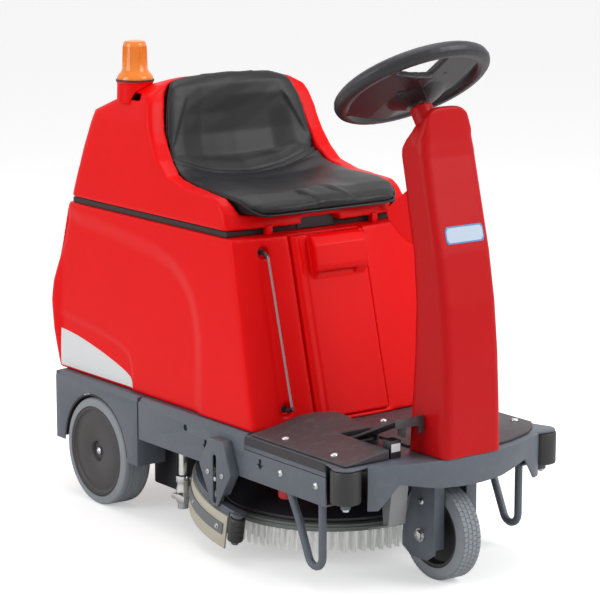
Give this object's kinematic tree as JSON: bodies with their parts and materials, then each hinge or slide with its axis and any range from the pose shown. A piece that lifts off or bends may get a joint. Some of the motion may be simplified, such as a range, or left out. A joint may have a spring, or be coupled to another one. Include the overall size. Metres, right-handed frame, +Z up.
{
  "type": "ride-on floor scrubber",
  "caption": "Compact ride-on floor scrubber with a steered front wheel, disc brush, curved squeegee, lifting seat hood and steering column.",
  "frame": {"origin": "on the floor, under the middle of the machine's length and width", "axes": "+Z up, the machine drives towards -Y, its right side is -X"},
  "size_m": [0.655, 1.3132, 1.1865],
  "materials": {
    "red_shell": "satin moulded polyethylene",
    "column_red": "satin moulded cover",
    "frame_paint": "slate powder coat",
    "tyre_grey": "non-marking grey rubber",
    "hub_plastic": "satin",
    "roller_rubber": "satin",
    "seat_vinyl": "sewn vinyl",
    "amber_lens": "clear tinted, fluted",
    "floor_mat": "matt",
    "steel": "plated",
    "chrome": "bright",
    "cast_alloy": "as cast",
    "black_plastic": "fine grain",
    "wheel_grip": "soft satin",
    "brush_body": "satin",
    "bristle_nylon": "loose filaments",
    "blade_rubber": "natural gum",
    "grey_plastic": "matt",
    "clear_tube": "clear",
    "filter_red": "satin"
  },
  "bodies": {
    "chassis": {"rail_right": "frame_paint", "rail_left": "frame_paint", "front_bumper": "frame_paint", "floor_plate": "frame_paint", "subframe": "frame_paint", "wheel_housing_right": "frame_paint", "wheel_housing_left": "frame_paint", "squeegee_guide_right": "frame_paint", "squeegee_guide_left": "frame_paint", "foot_guard_right": "frame_paint", "foot_guard_left": "frame_paint", "footrest_right": "floor_mat", "footrest_mat_left": "floor_mat", "deck_bracket": "cast_alloy", "tank_body": "red_shell", "battery_pack": "black_plastic", "drain_valve_body": "chrome", "filter_cup": "filter_red", "sight_tube": "clear_tube", "column_cover": "column_red", "console_pod": "red_shell", "hood_gasket": "grey_plastic", "pedal_sensor": "black_plastic"},
    "hood": {"hood_shell": "red_shell", "seat_cushion": "seat_vinyl", "beacon_base": "red_shell", "beacon_lens": "amber_lens", "suction_motor": "black_plastic"},
    "steering": {"steering_wheel": "wheel_grip", "steering_shaft": "steel"},
    "horn": {"horn_button": "black_plastic"},
    "fork": {"steering_fork": "frame_paint", "traction_motor": "black_plastic", "kingpin_shaft": "steel", "front_axle": "steel"},
    "front_wheel": {"front_rim": "hub_plastic", "front_tyre": "tyre_grey"},
    "rear_wheel_right": {"rear_rim_right": "hub_plastic", "rear_tyre_right": "tyre_grey"},
    "rear_wheel_left": {"rear_rim_left": "hub_plastic", "rear_tyre_left": "tyre_grey"},
    "bumper_roller_right": {"corner_roller_right": "roller_rubber"},
    "bumper_roller_left": {"corner_roller_left": "roller_rubber"},
    "brush_head": {"brush_deck": "black_plastic", "brush_motor": "black_plastic"},
    "brush": {"brush_block": "brush_body", "brush_bristles": "bristle_nylon"},
    "squeegee_lift": {"squeegee_hanger_right": "steel", "squeegee_hanger_left": "steel"},
    "squeegee": {"squeegee_carrier": "frame_paint", "squeegee_blade": "blade_rubber", "squeegee_strip": "grey_plastic"},
    "end_roller_right": {"squeegee_roller_right": "roller_rubber"},
    "end_roller_left": {"squeegee_roller_left": "roller_rubber"},
    "pedal": {"accelerator_pedal": "floor_mat"},
    "panel": {"access_panel": "red_shell"},
    "valve_lever": {"drain_valve_lever": "steel"},
    "key": {"ignition_key": "black_plastic"},
    "stop_button": {"emergency_stop": "filter_red"}
  },
  "joints": [
    {"name": "hood_hinge", "type": "hinge", "parent": "chassis", "child": "hood", "pos_m": [0, 0.57375, 0.7355], "axis": [-1, 0, 0], "range_deg": [0, 70]},
    {"name": "steering_turn", "type": "hinge", "parent": "chassis", "child": "steering", "pos_m": [0, -0.43425, 1.084], "axis": [0, 0.5299, 0.848], "range_deg": [-120, 120]},
    {"name": "horn_press", "type": "slide", "parent": "steering", "child": "horn", "axis": [0, -0.5299, -0.848], "range_m": [0, 0.0022], "stiffness_N_per_m": 300, "springref_m": -0.003},
    {"name": "fork_turn", "type": "hinge", "parent": "chassis", "child": "fork", "pos_m": [0, -0.58025, 0.255], "axis": [0, 0, 1], "range_deg": [-46, 46]},
    {"name": "front_wheel_roll", "type": "hinge", "parent": "fork", "child": "front_wheel", "pos_m": [0, -0.54825, 0.108], "axis": [1, 0, 0], "continuous": true},
    {"name": "rear_wheel_right_roll", "type": "hinge", "parent": "chassis", "child": "rear_wheel_right", "pos_m": [-0.2565, 0.40575, 0.132], "axis": [1, 0, 0], "continuous": true},
    {"name": "rear_wheel_left_roll", "type": "hinge", "parent": "chassis", "child": "rear_wheel_left", "pos_m": [0.2565, 0.40575, 0.132], "axis": [1, 0, 0], "continuous": true},
    {"name": "bumper_roller_right_turn", "type": "hinge", "parent": "chassis", "child": "bumper_roller_right", "pos_m": [-0.279, -0.56425, 0.258], "axis": [0, 0, 1], "continuous": true},
    {"name": "bumper_roller_left_turn", "type": "hinge", "parent": "chassis", "child": "bumper_roller_left", "pos_m": [0.279, -0.56425, 0.258], "axis": [0, 0, 1], "continuous": true},
    {"name": "brush_lift", "type": "slide", "parent": "chassis", "child": "brush_head", "axis": [0, 0, 1], "range_m": [-0.033, 0]},
    {"name": "brush_spin", "type": "hinge", "parent": "brush_head", "child": "brush", "pos_m": [0, -0.14725, 0.09], "axis": [0, 0, 1], "continuous": true},
    {"name": "squeegee_height", "type": "slide", "parent": "chassis", "child": "squeegee_lift", "axis": [0, 0, 1], "range_m": [-0.038, 0]},
    {"name": "squeegee_tilt", "type": "hinge", "parent": "squeegee_lift", "child": "squeegee", "pos_m": [0, -0.13525, 0.146], "axis": [1, 0, 0], "range_deg": [-11, 1.5]},
    {"name": "end_roller_right_turn", "type": "hinge", "parent": "squeegee", "child": "end_roller_right", "pos_m": [-0.309, -0.205, 0.08558], "axis": [0, -0.1908, 0.9816], "continuous": true},
    {"name": "end_roller_left_turn", "type": "hinge", "parent": "squeegee", "child": "end_roller_left", "pos_m": [0.309, -0.205, 0.08558], "axis": [0, -0.1908, 0.9816], "continuous": true},
    {"name": "pedal_press", "type": "hinge", "parent": "chassis", "child": "pedal", "pos_m": [-0.117, -0.41725, 0.3115], "axis": [1, 0, 0], "range_deg": [0, 10], "stiffness_Nm_per_rad": 6, "springref_deg": -17.19},
    {"name": "panel_hinge", "type": "hinge", "parent": "chassis", "child": "panel", "pos_m": [0, -0.25116, 0.316], "axis": [1, 0, 0], "range_deg": [0, 20]},
    {"name": "valve_turn", "type": "hinge", "parent": "chassis", "child": "valve_lever", "pos_m": [-0.265, 0.11175, 0.082], "axis": [1, 0, 0], "range_deg": [0, 90]},
    {"name": "key_turn", "type": "hinge", "parent": "chassis", "child": "key", "pos_m": [0.046, -0.45898, 0.83848], "axis": [0, 0.5547, 0.8321], "range_deg": [0, 60]},
    {"name": "stop_press", "type": "slide", "parent": "chassis", "child": "stop_button", "axis": [0, -0.5547, -0.8321], "range_m": [0, 0.004]}
  ],
  "couplings": [
    {"joint": "fork_turn", "follows": "steering_turn", "ratio": 0.375}
  ]
}
